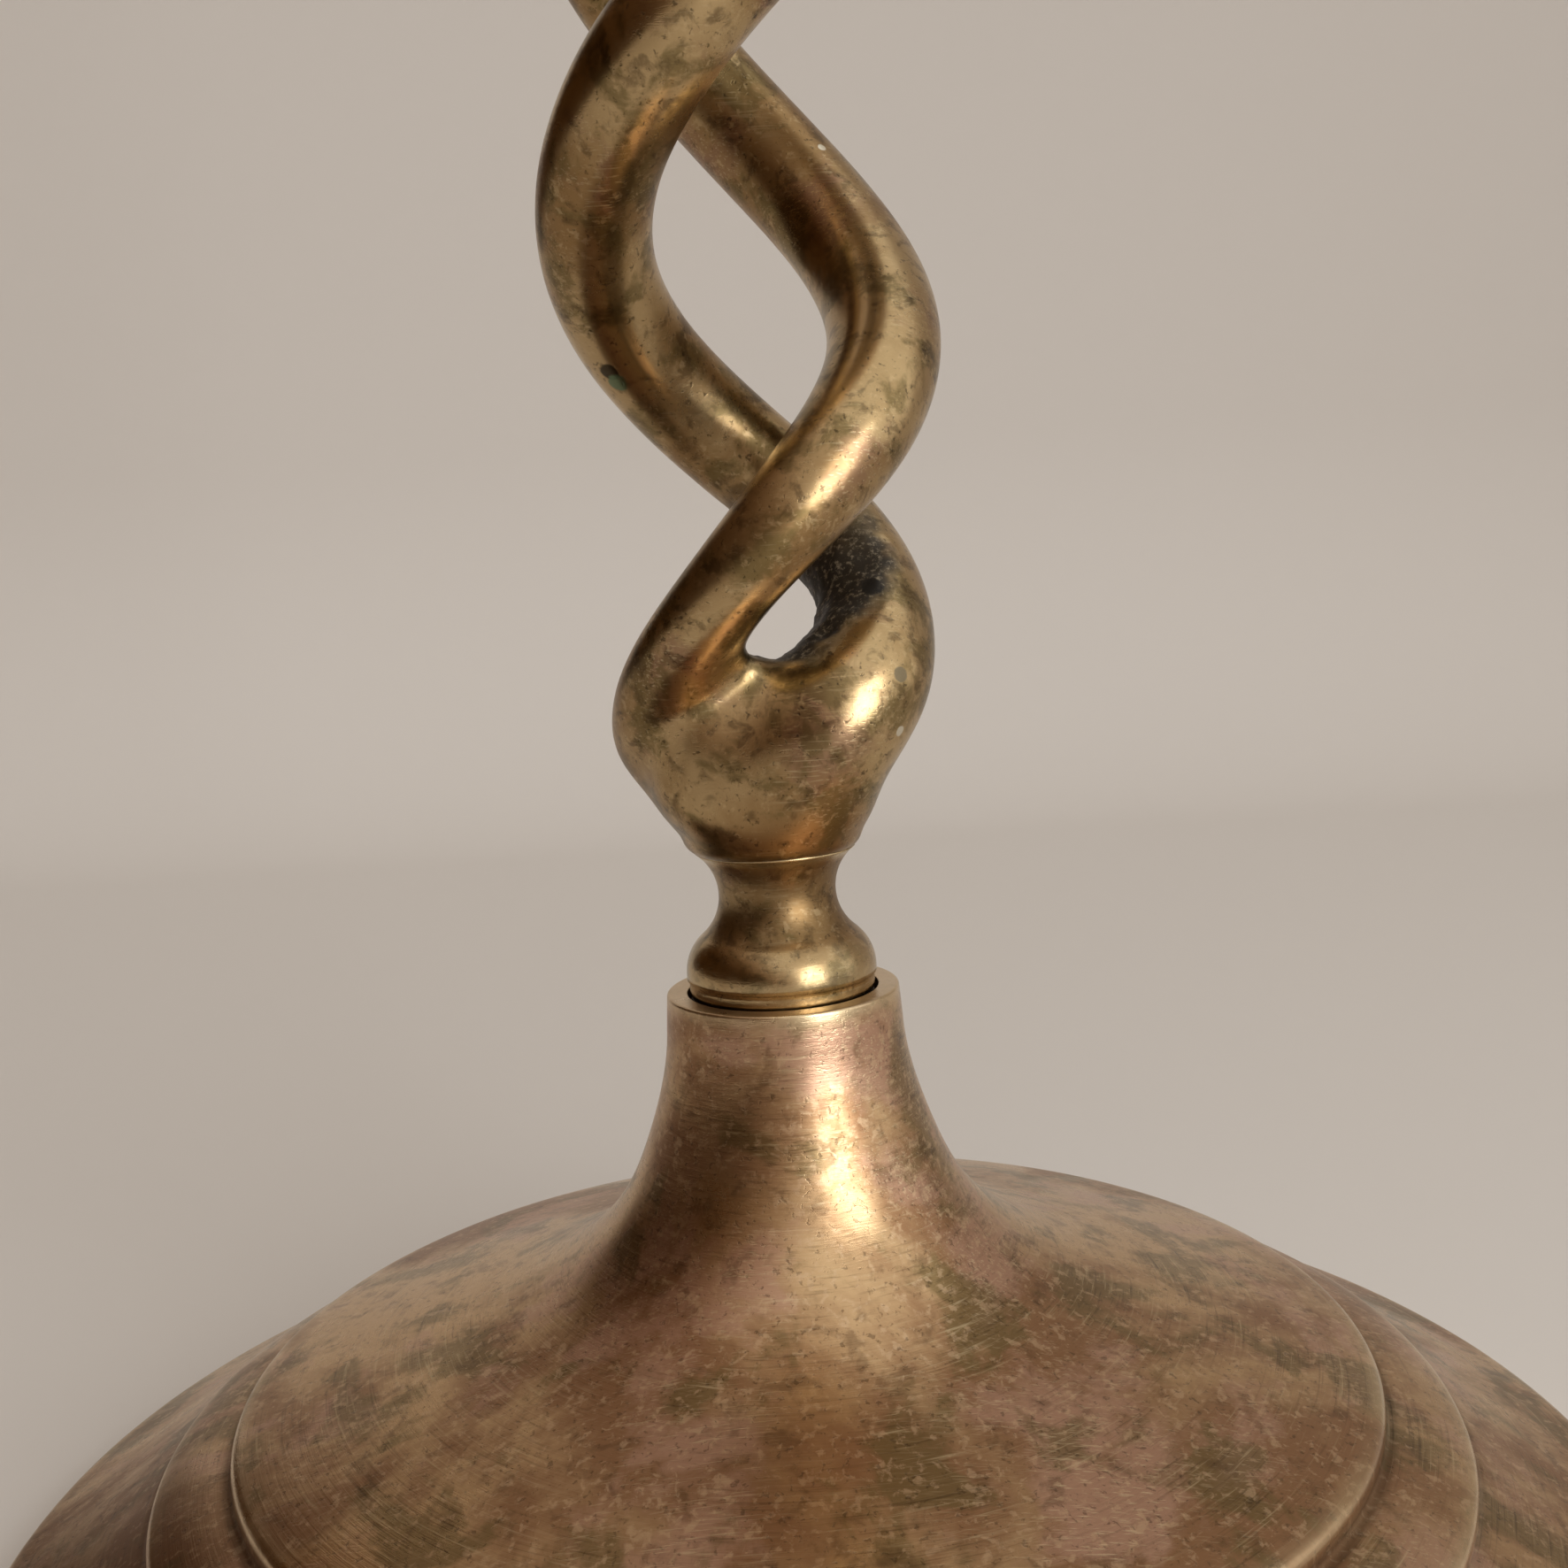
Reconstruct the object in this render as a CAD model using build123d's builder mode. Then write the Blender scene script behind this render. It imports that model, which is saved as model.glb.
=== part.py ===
import os
from math import cos, exp, pi, radians, sin, tan, tanh

from build123d import *

os.makedirs("parts", exist_ok=True)

# A brass candlestick with an open twist of two strands. Millimetres, +Z up.
# The origin is on the table, under the stem's axis.

# Overall sizes
base_radius = 63.5
collar_height = 45.0
stem_length = 164.5

# Screw joints: both studs are the same thread, drawn at its pitch cylinder
thread_radius = 2.8
thread_clearance = 0.06
stud_end_chamfer = 0.5
stud_end_gap = 0.5
stud_reach_in_base = 9.0
stud_reach_in_stem = 8.0

# Base: a hollow bell with a collar, a dome edge, a second ring and a rim
collar_radius = 9.05
collar_lip = 1.6
collar_edge_round = 0.25
recess_depth = 1.4
boss_length = 11.0
base_wall = 2.4
dome_radius = 44.1
dome_edge_height = 15.2
dome_edge_round = 1.1
dome_step = 1.7
ring_radius = 50.2
ring_edge_height = 11.1
ring_edge_round = 0.8
ring_step = 1.0
band_sag = 0.35
skirt_sag = 0.5
rim_edge_height = 3.4
rim_edge_round = 1.2
foot_edge_round = 0.4

# The trumpet of the neck, from the collar out to the dome's edge:
# (share of the flare outwards, share of the drop), straight at the collar first
neck_shares = (
    (0.005, 0.09),
    (0.02, 0.22),
    (0.062, 0.38),
    (0.124, 0.535),
    (0.228, 0.67),
    (0.387, 0.775),
    (0.6, 0.855),
    (0.8, 0.925),
    (1.0, 1.0),
)
hollow_start_share = 0.37
neck_start_lean_share = 0.03
dome_end_slope_share = 0.4

# Washer under the stem's foot
washer_clearance = 0.3

# Turned knop at each end of the stem
foot_sink = 0.6
knop_radius = 7.4
knop_height = 1.5
foot_band_step = 0.18
foot_band_height = 1.0
foot_round = 0.9
cove_neck_radius = 4.55
cove_height = 7.6
cove_radius = 4.2
cove_end_deg = 35.0
taper_sag = 0.3
stud_depth_in_stem = 10.0

# The two strands. Each has a slender end, which leaves its knop at once, and a stout end,
# which fills the bulb beside the other knop before it comes free.
twist_pitch = 65.0
twist_start_deg = 54.0
half_turn_deg = 180.0
full_turn_deg = 360.0
lead_deg = 34.0
lead_height = 47.0
lead_spread = 28.5
lag_deg = 24.5
lag_height = 40.0
lag_spread = 11.4
end_reach = 7.45
middle_swell = 3.55
slender_start = 0.6
slender_run = 6.2
stout_reach_share = 0.02
stout_free_height = 19.1
stout_free_run = 5.8
strand_radius = 4.25
slender_loss = 1.3
slender_height = 36.5
slender_spread = 3.2
stout_gain = 1.3
stout_height = 24.9
stout_spread = 1.5
strand_first_height = 9.0
strand_spans = 16
steps_per_span = 3
tangent_step = 0.01

# Solid bulb between the strands at each end, up to the foot of the first window
bulb_radius = 8.6
bulb_widest_height = 16.0
bulb_top_height = 25.6

# Drip pan
pan_radius = 29.0
pan_floor = 2.6
pan_depth = 5.6
pan_flat_radius = 17.0
pan_rim_width = 1.9
pan_rim_drop = 2.0
pan_rim_round = 0.8
pan_dish_sag = 1.5
pan_under_sag = 3.0
pan_collar_height = 1.0

# Candle cup
cup_height = 41.3
cup_foot_radius = 10.6
cup_foot_thickness = 1.8
cup_foot_round = 0.7
cup_waist_radius = 6.6
cup_waist_height = 5.6
cup_waist_sag = 0.9
cup_bowl_height = 13.2
cup_bowl_sag = 1.6
cup_wall = 2.0
cup_lip_radius = 16.0
cup_lip_thickness = 1.7
cup_lip_height = 6.0
cup_lip_sag = 1.0
cup_lip_round = 0.7
candle_bore_radius = 11.15
candle_bore_depth = 26.0
stud_depth_in_cup = 6.5

# Places and fits that follow from the sizes above
recess_radius = collar_radius - collar_lip
recess_floor = collar_height - recess_depth
boss_bottom = recess_floor - boss_length
tap_radius = thread_radius + thread_clearance
stem_foot = collar_height - foot_sink
pan_base = collar_height + stem_length
stem_top = pan_base + foot_sink
pan_floor_top = stem_top + pan_floor
cup_top = pan_floor_top + cup_height
candle_bore_floor = cup_top - candle_bore_depth


def neck_point(share, inset):
    out_share, drop_share = share
    across = collar_radius + out_share * (dome_radius - collar_radius)
    height = collar_height - drop_share * (collar_height - dome_edge_height)
    return (across - inset, height - inset)


def round_corners(outline, corners):
    # Rounds the outline's corner nearest to each place, by its radius
    for place, radius in corners:
        fillet(outline.vertices().sort_by_distance(place)[0], radius)


# Base casting: the outer outline runs down from the collar, the inner one back up inside the wall
outer_neck = [neck_point(share, 0) for share in neck_shares]
inner_neck = [neck_point(share, base_wall) for share in neck_shares if share[1] > hollow_start_share]
step_foot = dome_edge_height - dome_step
skirt_top = ring_edge_height - ring_step
inner_skirt_top = (ring_radius - base_wall, skirt_top - base_wall)
inner_rim = (base_radius - base_wall, rim_edge_height - base_wall)
with BuildPart() as base_casting:
    with BuildSketch(Plane.XZ) as base_outline:
        with BuildLine():
            Polyline(
                (tap_radius, boss_bottom),
                (tap_radius, recess_floor),
                (recess_radius, recess_floor),
                (recess_radius, collar_height),
                (collar_radius, collar_height),
                outer_neck[0],
            )
            Spline(
                *outer_neck,
                tangents=[(neck_start_lean_share, -1), (1, -dome_end_slope_share)],
            )
            Line(outer_neck[-1], (dome_radius, step_foot))
            SagittaArc((dome_radius, step_foot), (ring_radius, ring_edge_height), band_sag)
            Line((ring_radius, ring_edge_height), (ring_radius, skirt_top))
            SagittaArc((ring_radius, skirt_top), (base_radius, rim_edge_height), -skirt_sag)
            Polyline(
                (base_radius, rim_edge_height),
                (base_radius, 0),
                (base_radius - base_wall, 0),
                inner_rim,
            )
            SagittaArc(inner_rim, inner_skirt_top, skirt_sag)
            Polyline(inner_skirt_top, (dome_radius - base_wall, step_foot - base_wall), inner_neck[-1])
            Spline(*inner_neck)
            Polyline(inner_neck[0], (inner_neck[0][0], boss_bottom), (tap_radius, boss_bottom))
        make_face()
        round_corners(
            base_outline,
            (
                ((collar_radius, collar_height), collar_edge_round),
                ((dome_radius, dome_edge_height), dome_edge_round),
                ((dome_radius, step_foot), dome_edge_round / 2),
                ((ring_radius, ring_edge_height), ring_edge_round),
                ((base_radius, rim_edge_height), rim_edge_round),
                ((base_radius, 0), foot_edge_round),
            ),
        )
    revolve(axis=Axis.Z)
base_casting.part.label = "base_casting"
export_step(base_casting.part, "parts/base_casting.step")

# Seat washer: fills the recess's floor, under the stem's foot
with BuildPart() as seat_washer:
    with BuildSketch(Plane.XY.offset(recess_floor)):
        Circle(recess_radius - washer_clearance)
        Circle(thread_radius + washer_clearance, mode=Mode.SUBTRACT)
    extrude(amount=recess_depth - foot_sink)
seat_washer.part.label = "seat_washer"
export_step(seat_washer.part, "parts/seat_washer.step")


# Stem casting
def ease_off(distance, middle, spread):
    # Nearly 1 well before the middle, and nearly 0 well past it
    return 1 / (1 + exp((distance - middle) / spread))


def strand_size(height, strand):
    # Centre and radius of a strand at a height above the collar
    sign, slender, stout = (1, height, stem_length - height)
    if strand == 1:
        sign, slender, stout = (-1, stem_length - height, height)
    lead = lead_deg * exp(-(((slender - lead_height) / lead_spread) ** 2))
    lag = lag_deg * ease_off(stout, lag_height, lag_spread)
    turn = twist_start_deg + strand * half_turn_deg + full_turn_deg * height / twist_pitch
    turn += sign * (lead + lag)
    reach = end_reach + middle_swell * sin(pi * height / stem_length)
    reach *= tanh((slender - slender_start) / slender_run)
    reach *= 1 - (1 - stout_reach_share) * ease_off(stout, stout_free_height, stout_free_run / 2)
    radius = strand_radius - slender_loss * ease_off(slender, slender_height, slender_spread)
    radius += stout_gain * ease_off(stout, stout_height, stout_spread)
    centre = Vector(reach * cos(radians(turn)), reach * sin(radians(turn)), collar_height + height)
    return centre, radius


def strand_plane(height, strand):
    # Square to the strand, with its X direction level
    below = strand_size(height - tangent_step, strand)[0]
    above = strand_size(height + tangent_step, strand)[0]
    along = (above - below).normalized()
    return Plane(strand_size(height, strand)[0], x_dir=along.cross(Vector(0, 0, 1)), z_dir=along)


# The knop's round meets the cove in one smooth line, which sets its radius
cove_centre_across = cove_neck_radius + cove_radius
cove_rise = cove_height - knop_height
cove_overhang = cove_centre_across - knop_radius
knop_round = (cove_overhang**2 + cove_rise**2 - cove_radius**2) / (2 * (cove_radius - cove_overhang))
meet_share = cove_radius / (cove_radius + knop_round)
meet_across = cove_centre_across + meet_share * (knop_radius - knop_round - cove_centre_across)
meet_height = cove_height - meet_share * cove_rise


def cove_point(sweep_deg):
    # A place on the cove, this far round from its narrowest point towards the twist
    sweep = radians(sweep_deg)
    return (cove_centre_across - cove_radius * cos(sweep), cove_height + cove_radius * sin(sweep))


# Past the cove the lathe's cut runs on as a slightly rounded taper, which trims the roots of the strands
cove_end = cove_point(cove_end_deg)
twist_reach = end_reach + middle_swell + strand_radius
taper_top = cove_end[1] + (twist_reach - cove_end[0]) / tan(radians(cove_end_deg))


def knop_frame(is_top):
    # A level plane at the end of the stem: its Y points along the stem, away from the knop's foot
    if is_top:
        return Plane((0, 0, pan_base), x_dir=(1, 0, 0), z_dir=(0, 1, 0))
    return Plane((0, 0, collar_height), x_dir=(1, 0, 0), z_dir=(0, -1, 0))


with BuildPart() as stem_casting:
    for strand in range(2):
        for span in range(strand_spans):
            for step in range(steps_per_span + 1):
                share = (span + step / steps_per_span) / strand_spans
                height = strand_first_height + share * (stem_length - 2 * strand_first_height)
                with BuildSketch(strand_plane(height, strand)):
                    Circle(strand_size(height, strand)[1])
            loft()
    for is_top in (False, True):
        with BuildSketch(knop_frame(is_top)):
            with BuildLine():
                Polyline((0, bulb_top_height), (0, cove_height), (cove_neck_radius, cove_height))
                Spline(
                    (cove_neck_radius, cove_height),
                    (bulb_radius, bulb_widest_height),
                    (0, bulb_top_height),
                    tangents=[(1, 1), (-1, 0)],
                )
            make_face()
        revolve(axis=Axis.Z)
    for is_top in (False, True):
        with BuildSketch(knop_frame(is_top)):
            with BuildLine():
                ThreePointArc((cove_neck_radius, cove_height), cove_point(cove_end_deg / 2), cove_end)
                SagittaArc(cove_end, (twist_reach, taper_top), -taper_sag)
                Polyline(
                    (twist_reach, taper_top),
                    (twist_reach, -foot_sink),
                    (cove_neck_radius, -foot_sink),
                    (cove_neck_radius, cove_height),
                )
            make_face()
        revolve(axis=Axis.Z, mode=Mode.SUBTRACT)
    for is_top in (False, True):
        with BuildSketch(knop_frame(is_top)) as knop_outline:
            with BuildLine():
                Polyline(
                    (0, cove_height),
                    (0, -foot_sink),
                    (knop_radius - foot_band_step, -foot_sink),
                    (knop_radius - foot_band_step, foot_band_height),
                    (knop_radius, foot_band_height),
                    (knop_radius, knop_height),
                )
                TangentArc((knop_radius, knop_height), (meet_across, meet_height), tangent=(0, 1))
                ThreePointArc(
                    (meet_across, meet_height),
                    cove_point(-cove_end_deg / 2),
                    (cove_neck_radius, cove_height),
                )
                Line((cove_neck_radius, cove_height), (0, cove_height))
            make_face()
            round_corners(knop_outline, (((knop_radius - foot_band_step, -foot_sink), foot_round),))
        revolve(axis=Axis.Z)
    with Locations(Plane((0, 0, stem_foot), z_dir=(0, 0, -1))):
        Hole(thread_radius, depth=stud_depth_in_stem + stud_end_gap)
    with Locations(Plane((0, 0, stem_top))):
        Hole(tap_radius, depth=stud_reach_in_stem + stud_end_gap)
stem_casting.part.label = "stem_casting"
export_step(stem_casting.part, "parts/stem_casting.step")

# Stem stud: screwed into the stem's foot for good, and into the base's boss by hand
with BuildPart() as stem_stud:
    with BuildSketch(Plane.XY.offset(recess_floor - stud_reach_in_base)):
        Circle(thread_radius)
    extrude(amount=stud_reach_in_base + recess_depth - foot_sink + stud_depth_in_stem)
    chamfer(stem_stud.edges().filter_by(GeomType.CIRCLE), stud_end_chamfer)
stem_stud.part.label = "stem_stud"
export_step(stem_stud.part, "parts/stem_stud.step")

# Drip pan: its collar mirrors the base's, and its dish curls up to a rim
pan_rim_top = pan_floor_top + pan_depth
pan_hole_radius = thread_radius + washer_clearance
pan_under_start = (collar_radius, pan_base + pan_collar_height)
pan_under_end = (pan_radius, pan_rim_top - pan_rim_drop)
pan_lip = (pan_radius - pan_rim_width, pan_rim_top)
with BuildPart() as drip_pan:
    with BuildSketch(Plane.XZ) as pan_outline:
        with BuildLine():
            Polyline(
                (pan_hole_radius, pan_floor_top),
                (pan_hole_radius, stem_top),
                (recess_radius, stem_top),
                (recess_radius, pan_base),
                (collar_radius, pan_base),
                pan_under_start,
            )
            SagittaArc(pan_under_start, pan_under_end, -pan_under_sag)
            Polyline(pan_under_end, (pan_radius, pan_rim_top), pan_lip)
            SagittaArc(pan_lip, (pan_flat_radius, pan_floor_top), pan_dish_sag)
            Line((pan_flat_radius, pan_floor_top), (pan_hole_radius, pan_floor_top))
        make_face()
        round_corners(
            pan_outline,
            (
                ((collar_radius, pan_base), collar_edge_round),
                (pan_under_end, pan_rim_round),
                ((pan_radius, pan_rim_top), pan_rim_round),
            ),
        )
    revolve(axis=Axis.Z)
drip_pan.part.label = "drip_pan"
export_step(drip_pan.part, "parts/drip_pan.step")

# Candle cup: a turned foot and waist under a straight socket with a flared lip
cup_body_radius = candle_bore_radius + cup_wall
foot_top = pan_floor_top + cup_foot_thickness
waist = (cup_waist_radius, pan_floor_top + cup_waist_height)
bowl_edge = (cup_body_radius, pan_floor_top + cup_bowl_height)
lip_foot = (cup_body_radius, cup_top - cup_lip_height)
lip_edge = (cup_lip_radius, cup_top - cup_lip_thickness)
with BuildPart() as candle_cup:
    with BuildSketch(Plane.XZ) as cup_outline:
        with BuildLine():
            Polyline(
                (0, candle_bore_floor),
                (0, pan_floor_top),
                (cup_foot_radius, pan_floor_top),
                (cup_foot_radius, foot_top),
                (cup_foot_radius - cup_foot_thickness, foot_top),
            )
            SagittaArc((cup_foot_radius - cup_foot_thickness, foot_top), waist, cup_waist_sag)
            SagittaArc(waist, bowl_edge, -cup_bowl_sag)
            Line(bowl_edge, lip_foot)
            SagittaArc(lip_foot, lip_edge, cup_lip_sag)
            Polyline(
                lip_edge,
                (cup_lip_radius, cup_top),
                (candle_bore_radius, cup_top),
                (candle_bore_radius, candle_bore_floor),
                (0, candle_bore_floor),
            )
        make_face()
        round_corners(
            cup_outline,
            (
                ((cup_foot_radius, foot_top), cup_foot_round),
                ((cup_lip_radius, cup_top), cup_lip_round),
            ),
        )
    revolve(axis=Axis.Z)
    with Locations(Plane((0, 0, pan_floor_top), z_dir=(0, 0, -1))):
        Hole(thread_radius, depth=stud_depth_in_cup + stud_end_gap)
candle_cup.part.label = "candle_cup"
export_step(candle_cup.part, "parts/candle_cup.step")

# Cup stud: screwed into the cup's foot for good, and through the pan into the stem's top by hand
with BuildPart() as cup_stud:
    with BuildSketch(Plane.XY.offset(stem_top - stud_reach_in_stem)):
        Circle(thread_radius)
    extrude(amount=stud_reach_in_stem + pan_floor + stud_depth_in_cup)
    chamfer(cup_stud.edges().filter_by(GeomType.CIRCLE), stud_end_chamfer)
cup_stud.part.label = "cup_stud"
export_step(cup_stud.part, "parts/cup_stud.step")
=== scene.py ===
from math import atan2, ceil, cos, degrees, hypot, pi, radians, sin

import bpy
import numpy as np
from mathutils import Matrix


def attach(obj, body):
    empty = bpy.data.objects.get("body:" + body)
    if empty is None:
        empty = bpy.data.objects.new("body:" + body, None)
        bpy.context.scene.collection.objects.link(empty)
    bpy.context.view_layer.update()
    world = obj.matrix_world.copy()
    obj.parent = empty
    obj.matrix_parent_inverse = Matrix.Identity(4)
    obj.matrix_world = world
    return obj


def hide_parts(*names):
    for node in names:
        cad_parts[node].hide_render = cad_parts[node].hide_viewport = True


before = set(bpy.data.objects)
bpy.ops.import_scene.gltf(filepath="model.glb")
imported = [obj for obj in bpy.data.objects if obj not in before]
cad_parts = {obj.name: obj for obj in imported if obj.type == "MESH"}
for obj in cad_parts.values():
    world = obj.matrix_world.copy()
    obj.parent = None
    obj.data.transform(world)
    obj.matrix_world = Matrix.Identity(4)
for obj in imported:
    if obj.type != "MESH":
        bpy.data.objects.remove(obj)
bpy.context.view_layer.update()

import openvdb
from mathutils import Matrix, Vector, noise

mm = 0.001  # everything below is drawn in millimetres and scaled once, when its mesh is made


# Polishing lines, in texture cells about 0.3 mm wide: far coarser than real lines, so that they show
brush = {"round": (4.5, 4.5, 3.5), "along": (16.0, 16.0, 0.16)}

# Rubbed edges, and corners darkened by grime and painted shade: turning is summed within the reach (mm), and
# fullBend (radians) counts as 1
wear = {"reach": 0.7, "fullBend": 0.9}

# Drawing outlines for turned pieces: (across, height) points, bottom up or top down

def bow(start, end, sag, steps=14):
    # a shallow arc; sag bulges to the left of the way it runs
    (r0, z0), (r1, z1) = start, end
    share = np.linspace(0, 1, steps + 1)
    lift = 4 * sag * share * (1 - share)
    length = hypot(r1 - r0, z1 - z0)
    across = r0 + share * (r1 - r0) - lift * (z1 - z0) / length
    height = z0 + share * (z1 - z0) + lift * (r1 - r0) / length
    return list(zip(across, height))


def arc(centre, radius, startDeg, endDeg, steps=12):
    angles = np.radians(np.linspace(startDeg, endDeg, steps + 1))
    return [(centre[0] + radius * cos(a), centre[1] + radius * sin(a)) for a in angles]


def softCurve(points, startWay, endWay, perSpan=10):
    # one smooth line through the points, with its direction given at both ends
    p = np.array(points, float)
    step = np.linalg.norm(np.diff(p, axis=0), axis=1)
    n = len(p)
    rows, right = np.zeros((n, n)), np.zeros((n, 2))
    rows[0, 0] = rows[-1, -1] = 1
    right[0] = np.array(startWay) / np.linalg.norm(startWay)
    right[-1] = np.array(endWay) / np.linalg.norm(endWay)
    for i in range(1, n - 1):
        rows[i, i - 1 : i + 2] = step[i], 2 * (step[i - 1] + step[i]), step[i - 1]
        before, after = (p[i] - p[i - 1]) / step[i - 1], (p[i + 1] - p[i]) / step[i]
        right[i] = 3 * (step[i] * before + step[i - 1] * after)
    way = np.linalg.solve(rows, right)
    line = []
    for i in range(n - 1):
        t = np.linspace(0, 1, perSpan, endpoint=False)[:, None]
        line += list(
            (2 * t**3 - 3 * t**2 + 1) * p[i]
            + (t**3 - 2 * t**2 + t) * step[i] * way[i]
            + (3 * t**2 - 2 * t**3) * p[i + 1]
            + (t**3 - t**2) * step[i] * way[i + 1]
        )
    return [tuple(q) for q in line] + [tuple(p[-1])]


def rounded(outline, corners, steps=6):
    # rounds the outline's point nearest to each place, as a worn or filed edge
    line = [np.array(q, float) for q in outline]
    for place, radius in corners:
        i = min(range(len(line)), key=lambda k: np.linalg.norm(line[k] - np.array(place)))
        here = line[i]
        toPrev, toNext = line[i - 1] - here, line[(i + 1) % len(line)] - here
        bend = np.linalg.norm(toPrev), np.linalg.norm(toNext)
        half = np.arccos(np.clip(toPrev @ toNext / (bend[0] * bend[1]), -1, 1)) / 2
        back = min(radius / np.tan(half), 0.95 * min(bend))
        a, b = here + toPrev / bend[0] * back, here + toNext / bend[1] * back
        share = np.linspace(0, 1, steps + 1)[:, None]
        line[i : i + 1] = list((1 - share) ** 2 * a + 2 * share * (1 - share) * here + share**2 * b)
    return [tuple(q) for q in line]


def evenOut(outline, gap):
    # adds points on long runs, so that dents and marks have something to move
    line = []
    for (r0, z0), (r1, z1) in zip(outline, outline[1:]):
        count = max(1, ceil(hypot(r1 - r0, z1 - z0) / gap))
        line += [(r0 + (r1 - r0) * k / count, z0 + (z1 - z0) * k / count) for k in range(count)]
    return line + [outline[-1]]


def marks(mesh, values):
    # keeps a number or a direction for each vertex, for the materials to read
    for name, numbers in values.items():
        numbers = np.asarray(numbers, np.float32)
        kind, key = ("FLOAT", "value") if numbers.ndim == 1 else ("FLOAT_VECTOR", "vector")
        mesh.attributes.new(name, kind, "POINT").data.foreach_set(key, numbers.ravel())


def newPiece(name, points, faces):
    mesh = bpy.data.meshes.new(name)
    mesh.from_pydata((np.asarray(points) * mm).tolist(), [], [tuple(int(i) for i in f) for f in faces])
    mesh.shade_smooth()
    piece = bpy.data.objects.new(name, mesh)
    bpy.context.scene.collection.objects.link(piece)
    return piece


def unevenness(points, size, octaves=3, seed=0.0):
    # soft cloud values, about -1 to 1, with lumps of this size
    shift = Vector((seed, seed * 1.7, -seed))
    return np.array([noise.fractal(Vector(p) / size + shift, 1.0, 2.0, octaves) for p in points])


def roundBrush(points, run):
    # where polishing lines run round the axis: long that way, fine along the outline
    across = np.maximum(np.hypot(points[:, 0], points[:, 1]), 1e-6)
    return np.stack([points[:, 0] / across, points[:, 1] / across, run], -1) * brush["round"]


def turned(name, outline, sides, wobble=0.0, seed=1.0, gap=0.9):
    # spins an outline round the upright axis; it is closed, or starts and ends on the axis
    line = np.array(evenOut(outline, gap))
    shut = line[0][0] > 1e-6
    if shut and np.linalg.norm(line[0] - line[-1]) < 1e-6:
        line = line[:-1]
    area = 0.5 * np.sum(line[:, 0] * np.roll(line[:, 1], -1) - np.roll(line[:, 0], -1) * line[:, 1])
    before, after = line - np.roll(line, 1, 0), np.roll(line, -1, 0) - line
    length = np.linalg.norm(after, axis=1)
    bend = np.arctan2(
        before[:, 0] * after[:, 1] - before[:, 1] * after[:, 0], (before * after).sum(1)
    ) * np.sign(area)
    run = np.concatenate([[0], np.cumsum(length)[:-1]])
    loop = run[-1] + length[-1]
    away = np.abs(run[:, None] - run[None, :])
    away = np.minimum(away, loop - away) if shut else away
    bend = np.exp(-((away / wear["reach"]) ** 2)) @ bend
    # outward bends mark rubbed edges; inward bends mark corners and grooves, which the materials darken with
    # grime and painted shade
    edge, nookShade = np.clip(bend / wear["fullBend"], 0, 1), np.clip(-bend / wear["fullBend"], 0, 1)
    turn = np.linspace(0, 2 * pi, sides, endpoint=False)
    rows = np.arange(len(line)) if shut else np.arange(1, len(line) - 1)
    across, height = line[rows, 0, None], line[rows, 1, None]
    points = np.stack([across * np.cos(turn), across * np.sin(turn), height + 0 * turn], -1).reshape(-1, 3)
    along, k, total = np.repeat(rows, sides), np.arange(sides), len(rows) * sides
    nextK = (k + 1) % sides
    low = np.arange(len(rows) if shut else len(rows) - 1)[:, None] * sides
    high = (low + sides) % total
    faces = np.stack([low + k, low + nextK, high + nextK, high + k], -1).reshape(-1, 4).tolist()
    if not shut:  # the two ends on the axis
        points = np.concatenate([points, [(0, 0, line[0][1]), (0, 0, line[-1][1])]])
        along = np.concatenate([along, [0, len(line) - 1]])
        faces += [(total, b, a) for a, b in zip(k, nextK)]
        faces += [(total - sides + a, total - sides + b, total + 1) for a, b in zip(k, nextK)]
    if area < 0:
        faces = [face[::-1] for face in faces]
    if wobble:
        out = np.hypot(points[:, 0], points[:, 1])
        lean = unevenness(points, 17.0, 2, seed) * wobble  # slow lumps, 17 mm across
        points[:, :2] *= (1 + lean / np.maximum(out, 3.0))[:, None]
    piece = newPiece(name, points, faces)
    marks(piece.data, {"edge": edge[along], "nookShade": nookShade[along], "brush": roundBrush(points, run[along])})
    return piece


def cutTogether(piece, others, way):
    # joins or cuts closed pieces into one closed mesh
    for other in others:
        tool = piece.modifiers.new("cut", "BOOLEAN")
        tool.object, tool.operation, tool.solver = other, way, "MANIFOLD"
    done = bpy.data.meshes.new_from_object(piece.evaluated_get(bpy.context.evaluated_depsgraph_get()))
    piece.modifiers.clear()
    piece.data = done
    for other in others:
        bpy.data.objects.remove(other)
    return piece


# Base: cast, then turned outside; a trumpet neck, a dome edge, a second ring and a rim

base = {
    "collarHeight": 45.0, "collarRadius": 9.05, "recessRadius": 7.45, "recessFloor": 43.6,
    "tapRadius": 2.86, "bossBottom": 32.6, "wall": 2.4,
    "domeRadius": 44.1, "domeEdge": 15.2, "domeStep": 1.7,
    "ringRadius": 50.2, "ringEdge": 11.1, "ringStep": 1.0,
    "rimRadius": 63.5, "rimEdge": 3.4, "ringSag": 0.35, "skirtSag": 0.5, "hollowFrom": 0.37,
    "neckShares": (  # (share of the flare outwards, share of the drop)
        (0.005, 0.09), (0.02, 0.22), (0.062, 0.38), (0.124, 0.535), (0.228, 0.67),
        (0.387, 0.775), (0.6, 0.855), (0.8, 0.925), (1.0, 1.0),
    ),
    "wobble": 0.05,
}


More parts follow.
